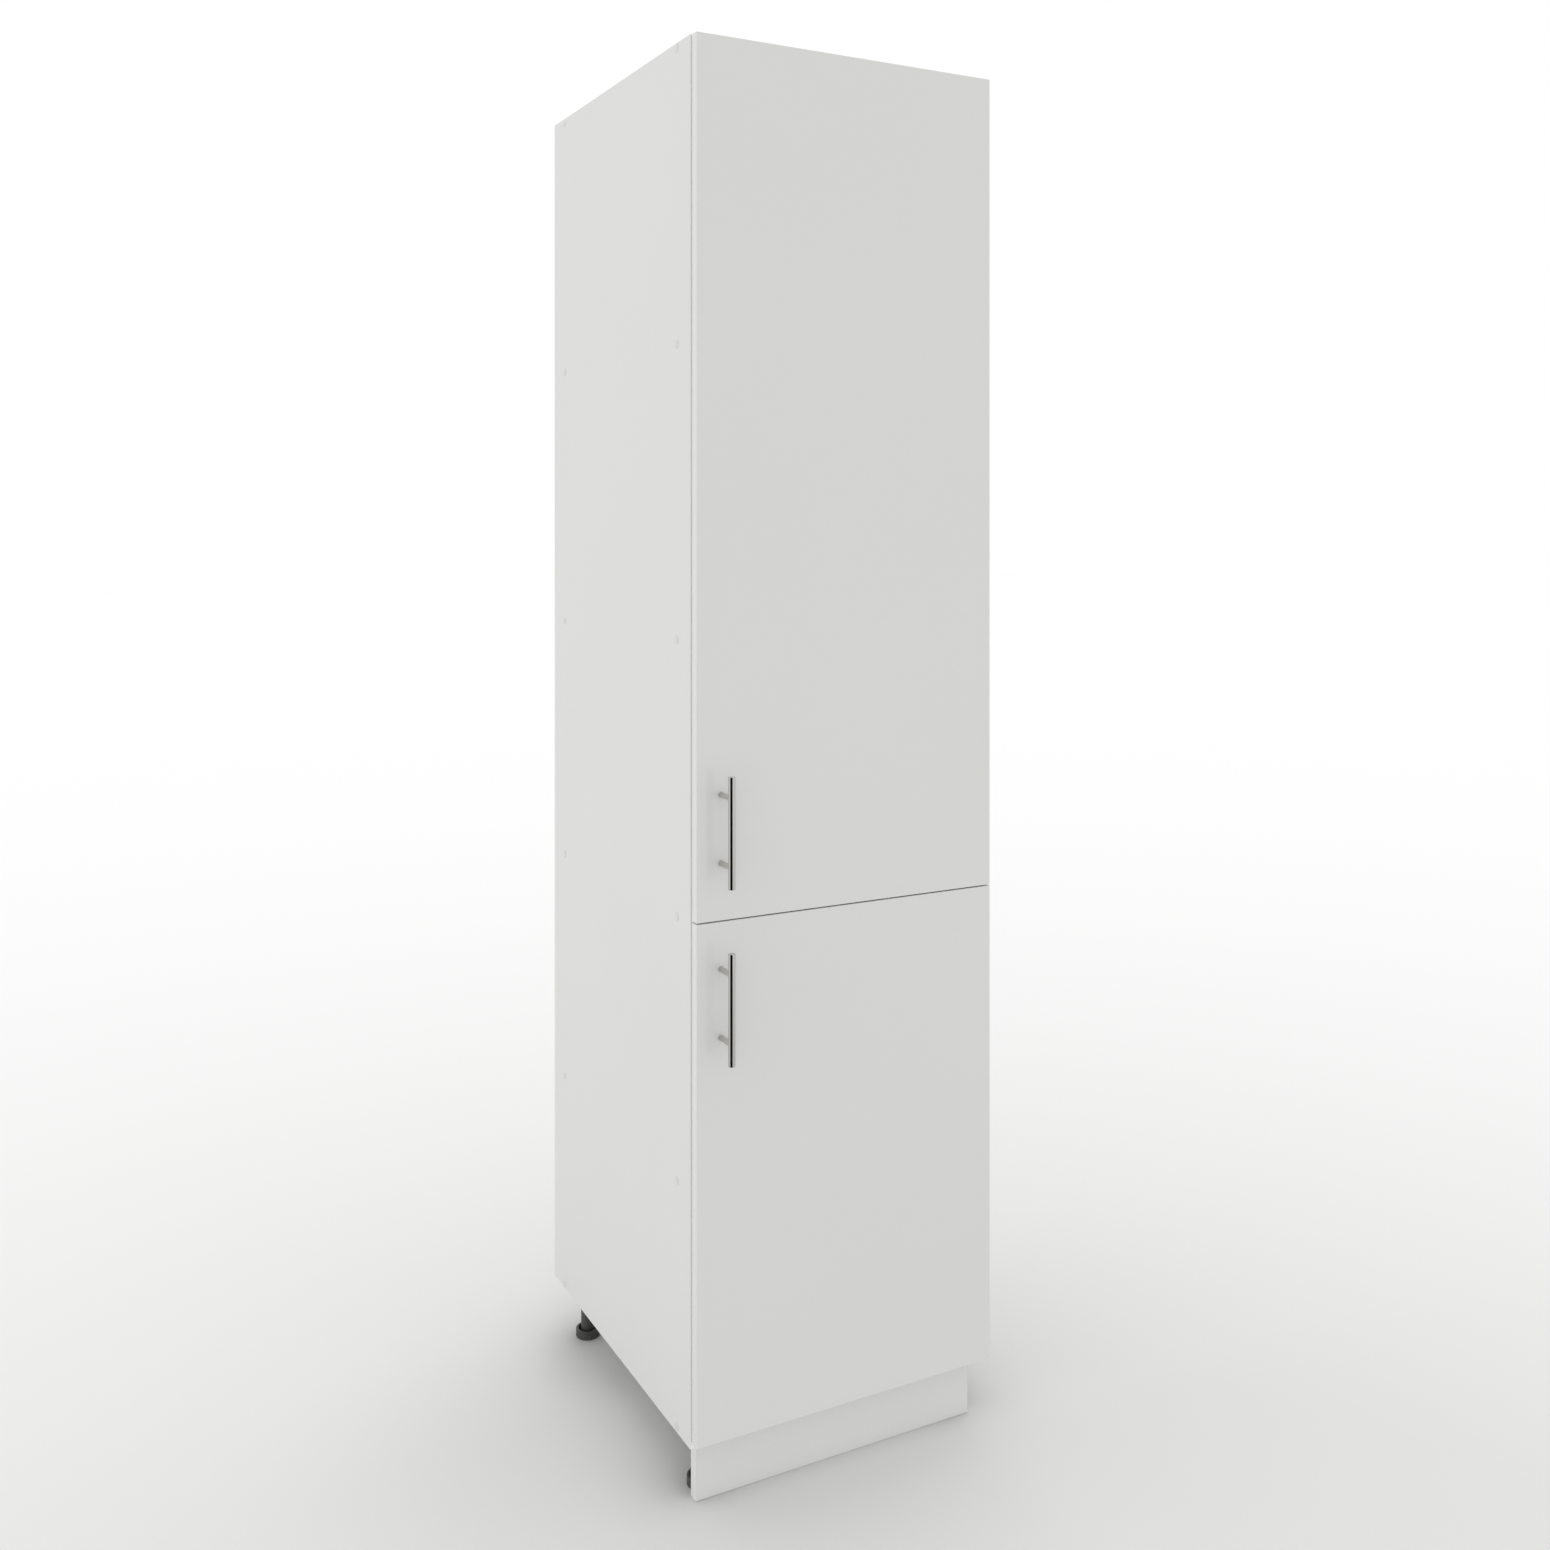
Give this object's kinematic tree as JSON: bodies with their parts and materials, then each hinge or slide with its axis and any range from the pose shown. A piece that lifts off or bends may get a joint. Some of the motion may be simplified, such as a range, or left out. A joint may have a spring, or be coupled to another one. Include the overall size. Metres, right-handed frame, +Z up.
{
  "type": "tall pantry cabinet",
  "caption": "Tall free-standing kitchen pantry cabinet: white board carcass with fixed shelves, gloss hinged doors one above the other, bar handles, plinth and adjustable legs.",
  "frame": {"origin": "on the floor under the middle of the overall box", "axes": "+X to the right across the front, +Y from the doors to the back, +Z up"},
  "size_m": [0.5, 0.621, 2.07],
  "materials": {
    "white_melamine_board": "white melamine face on chipboard, satin",
    "white_hardboard": "white coated hardboard, matt",
    "gloss_white_front": "high gloss white film on fibreboard",
    "white_headed_screw": "steel screw with a white head",
    "zinc_plated_steel": "bright zinc plate",
    "nickel_plated_steel": "nickel plate",
    "polished_steel": "polished steel",
    "black_plastic": "moulded black plastic, matt",
    "clear_bumper": "soft pale dot"
  },
  "bodies": {
    "carcass": {"side_panel_left": "white_melamine_board", "side_panel_right": "white_melamine_board", "bottom_panel": "white_melamine_board", "lower_shelf": "white_melamine_board", "middle_shelf": "white_melamine_board", "upper_shelf_low": "white_melamine_board", "upper_shelf_high": "white_melamine_board", "top_panel": "white_melamine_board", "back_panel": "white_hardboard", "carcass_screws": "white_headed_screw", "wall_bracket_left": "zinc_plated_steel", "wall_bracket_right": "zinc_plated_steel", "bracket_screws": "zinc_plated_steel", "leg_screws": "zinc_plated_steel", "hinge_plate_screws": "zinc_plated_steel", "leg_front_left": "black_plastic", "leg_front_right": "black_plastic", "leg_rear_left": "black_plastic", "leg_rear_right": "black_plastic", "upper_hinge_plate_1": "nickel_plated_steel", "upper_hinge_arm_1": "nickel_plated_steel", "upper_hinge_plate_2": "nickel_plated_steel", "upper_hinge_arm_2": "nickel_plated_steel", "upper_hinge_plate_3": "nickel_plated_steel", "upper_hinge_arm_3": "nickel_plated_steel", "upper_arm_pins": "nickel_plated_steel", "lower_hinge_plate_1": "nickel_plated_steel", "lower_hinge_arm_1": "nickel_plated_steel", "lower_hinge_plate_2": "nickel_plated_steel", "lower_hinge_arm_2": "nickel_plated_steel", "lower_arm_pins": "nickel_plated_steel"},
    "upper_front_link": {"upper_front_links": "nickel_plated_steel"},
    "upper_rear_link": {"upper_rear_links": "nickel_plated_steel"},
    "upper_door": {"upper_door_panel": "gloss_white_front", "upper_door_bumpers": "clear_bumper", "upper_handle_bar": "polished_steel", "upper_handle_posts": "polished_steel", "upper_handle_screws": "zinc_plated_steel", "upper_hinge_cups": "nickel_plated_steel", "upper_cup_pins": "nickel_plated_steel", "upper_cup_screws": "zinc_plated_steel"},
    "lower_front_link": {"lower_front_links": "nickel_plated_steel"},
    "lower_rear_link": {"lower_rear_links": "nickel_plated_steel"},
    "lower_door": {"lower_door_panel": "gloss_white_front", "lower_door_bumpers": "clear_bumper", "lower_handle_bar": "polished_steel", "lower_handle_posts": "polished_steel", "lower_handle_screws": "zinc_plated_steel", "lower_hinge_cups": "nickel_plated_steel", "lower_cup_pins": "nickel_plated_steel", "lower_cup_screws": "zinc_plated_steel"},
    "foot_front_left": {"foot_front_left": "black_plastic"},
    "foot_front_right": {"foot_front_right": "black_plastic"},
    "foot_rear_left": {"foot_rear_left": "black_plastic"},
    "foot_rear_right": {"foot_rear_right": "black_plastic"},
    "plinth": {"plinth_board": "gloss_white_front", "plinth_clip_left": "black_plastic", "plinth_clip_right": "black_plastic", "plinth_clip_screws": "zinc_plated_steel"}
  },
  "joints": [
    {"name": "upper_front_link_hinge", "type": "hinge", "parent": "carcass", "child": "upper_front_link", "pos_m": [0.21, -0.2435, 1.44912], "axis": [0, 0, 1], "range_deg": [-25, 0]},
    {"name": "upper_door_hinge", "type": "hinge", "parent": "upper_front_link", "child": "upper_door", "pos_m": [0.237, -0.2585, 1.44912], "axis": [0, 0, 1], "range_deg": [0, 125]},
    {"name": "upper_rear_link_hinge", "type": "hinge", "parent": "carcass", "child": "upper_rear_link", "pos_m": [0.215, -0.2605, 1.44912], "axis": [0, 0, 1], "range_deg": [-30, 0]},
    {"name": "lower_front_link_hinge", "type": "hinge", "parent": "carcass", "child": "lower_front_link", "pos_m": [0.21, -0.2435, 0.46337], "axis": [0, 0, 1], "range_deg": [-25, 0]},
    {"name": "lower_door_hinge", "type": "hinge", "parent": "lower_front_link", "child": "lower_door", "pos_m": [0.237, -0.2585, 0.46337], "axis": [0, 0, 1], "range_deg": [0, 125]},
    {"name": "lower_rear_link_hinge", "type": "hinge", "parent": "carcass", "child": "lower_rear_link", "pos_m": [0.215, -0.2605, 0.46337], "axis": [0, 0, 1], "range_deg": [-30, 0]},
    {"name": "foot_front_left_height", "type": "slide", "parent": "carcass", "child": "foot_front_left", "axis": [0, 0, -1], "range_m": [-0.005, 0.02]},
    {"name": "foot_front_right_height", "type": "slide", "parent": "carcass", "child": "foot_front_right", "axis": [0, 0, -1], "range_m": [-0.005, 0.02]},
    {"name": "foot_rear_left_height", "type": "slide", "parent": "carcass", "child": "foot_rear_left", "axis": [0, 0, -1], "range_m": [-0.005, 0.02]},
    {"name": "foot_rear_right_height", "type": "slide", "parent": "carcass", "child": "foot_rear_right", "axis": [0, 0, -1], "range_m": [-0.005, 0.02]},
    {"name": "plinth_pull", "type": "slide", "parent": "carcass", "child": "plinth", "axis": [0, -1, 0], "range_m": [0, 0.08]}
  ],
  "couplings": [
    {"joint": "upper_front_link_hinge", "follows": "upper_door_hinge", "ratio": -0.2},
    {"joint": "upper_rear_link_hinge", "follows": "upper_door_hinge", "ratio": -0.24},
    {"joint": "lower_front_link_hinge", "follows": "lower_door_hinge", "ratio": -0.2},
    {"joint": "lower_rear_link_hinge", "follows": "lower_door_hinge", "ratio": -0.24}
  ]
}
